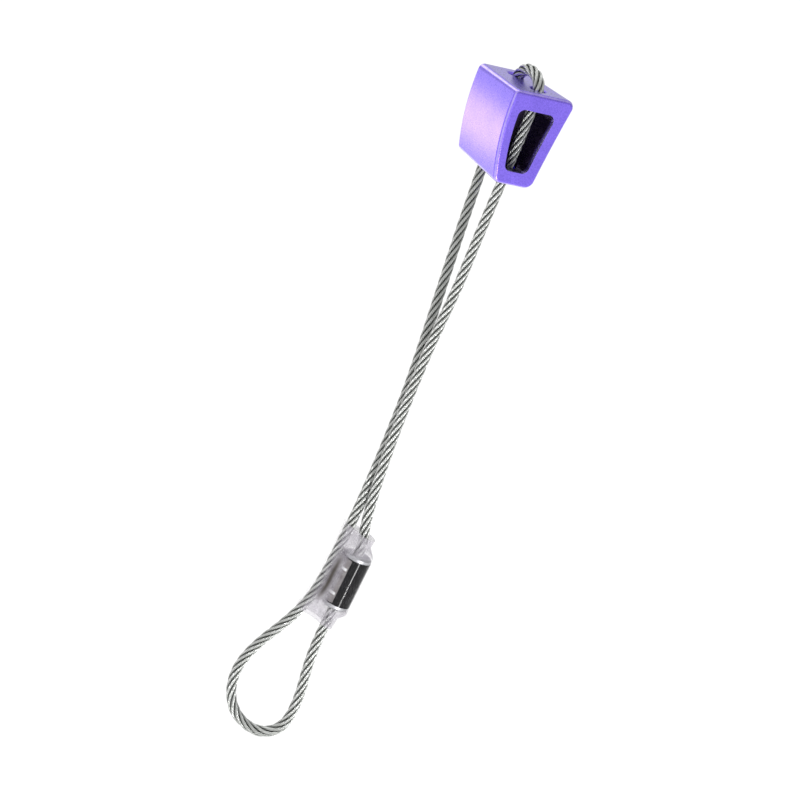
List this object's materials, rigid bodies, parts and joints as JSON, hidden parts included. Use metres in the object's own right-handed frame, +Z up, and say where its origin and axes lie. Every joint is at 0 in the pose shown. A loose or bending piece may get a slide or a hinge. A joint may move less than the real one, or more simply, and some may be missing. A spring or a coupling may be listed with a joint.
{
  "type": "wired climbing nut",
  "caption": "Tapered hollow aluminium chock threaded on a closed wire-rope sling, with a ferrule and a clip-in loop at the foot.",
  "frame": {"origin": "middle of the chock's top face, between the two cable holes", "axes": "+Z up the sling towards the chock, as it hangs in use; -Y out of the wide end face; -X out of the bulging broad face"},
  "size_m": [0.0317, 0.0286, 0.2393],
  "materials": {
    "anodised_aluminium": "satin violet anodising over a bead-blasted surface",
    "wire_rope": "galvanised wires laid in strands",
    "ferrule_metal": "bare swaged metal",
    "printed_band": "glossy black with a plain grey panel",
    "clear_sleeve": "clear heat-shrink with a slight frost"
  },
  "bodies": {
    "chock": {"head": "anodised_aluminium"},
    "sling_top": {"wire_top_bight": "wire_rope"},
    "sling_foot": {"wire_front_leg": "wire_rope", "wire_rear_leg": "wire_rope", "wire_ferrule_tail": "wire_rope", "ferrule": "ferrule_metal", "ferrule_band": "printed_band", "shrink_sleeve": "clear_sleeve"},
    "clip_loop": {"wire_clip_loop": "wire_rope"}
  },
  "joints": [
    {"name": "chock_slide", "type": "slide", "parent": "chock", "child": "sling_top", "axis": [0, 0, 1], "range_m": [0, 0.006]},
    {"name": "legs_flex", "type": "hinge", "parent": "sling_top", "child": "sling_foot", "pos_m": [-0.00013, 0.00015, -0.062], "axis": [0, 1, 0], "range_deg": [-30, 30], "stiffness_Nm_per_rad": 0.25},
    {"name": "loop_flex", "type": "hinge", "parent": "sling_foot", "child": "clip_loop", "pos_m": [-0.0056, 0.0036, -0.1926], "axis": [0.8387, -0.5446, 0], "range_deg": [-25, 25], "stiffness_Nm_per_rad": 0.4}
  ]
}
